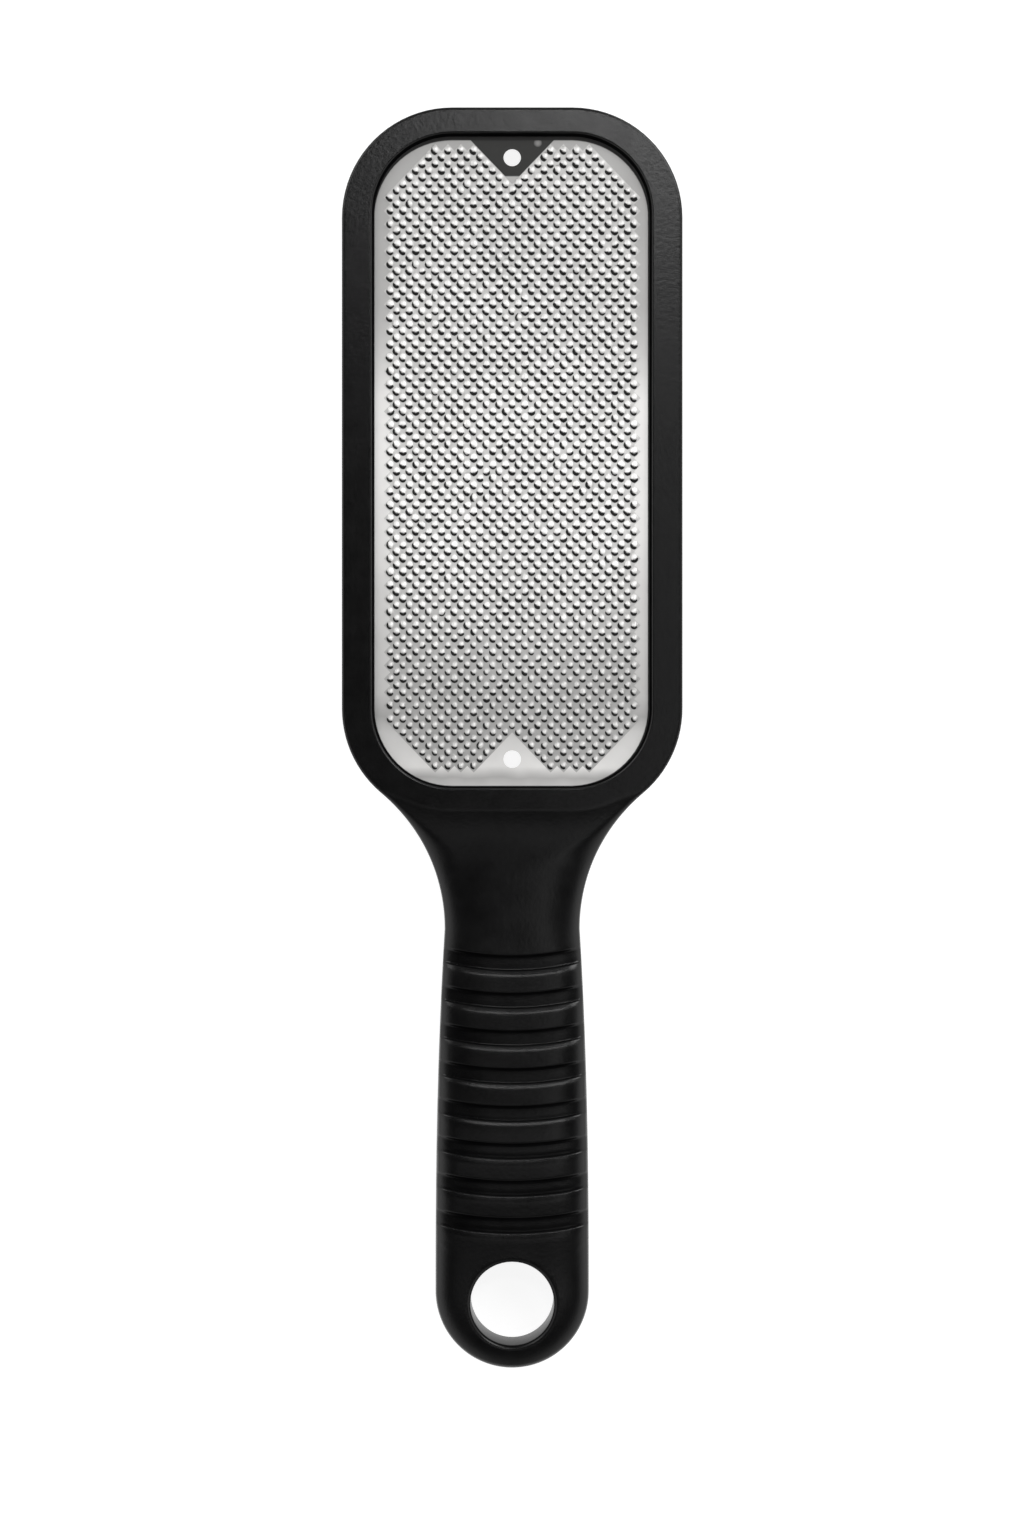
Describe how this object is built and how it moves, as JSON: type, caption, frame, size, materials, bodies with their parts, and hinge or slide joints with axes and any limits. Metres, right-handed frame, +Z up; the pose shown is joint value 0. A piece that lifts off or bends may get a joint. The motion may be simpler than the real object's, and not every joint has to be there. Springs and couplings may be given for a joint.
{
  "type": "foot rasp",
  "caption": "Paddle-shaped foot rasp: a toothed steel plate held in the frame of a one-piece black handle with a grooved grip and a hanging hole.",
  "frame": {"origin": "middle of the footprint, on the surface that the rasp lies on, with its toothed side up", "axes": "+Z up out of the toothed side, +Y along the rasp toward the top of its head, +X to the right as the teeth face the viewer with the head up"},
  "size_m": [0.0702, 0.26, 0.0115],
  "materials": {
    "black_plastic": "satin black moulded plastic",
    "plate_steel": "bright stainless sheet with raised cutting teeth"
  },
  "bodies": {
    "root": {"body": "black_plastic", "rasp_plate": "plate_steel"}
  },
  "joints": []
}
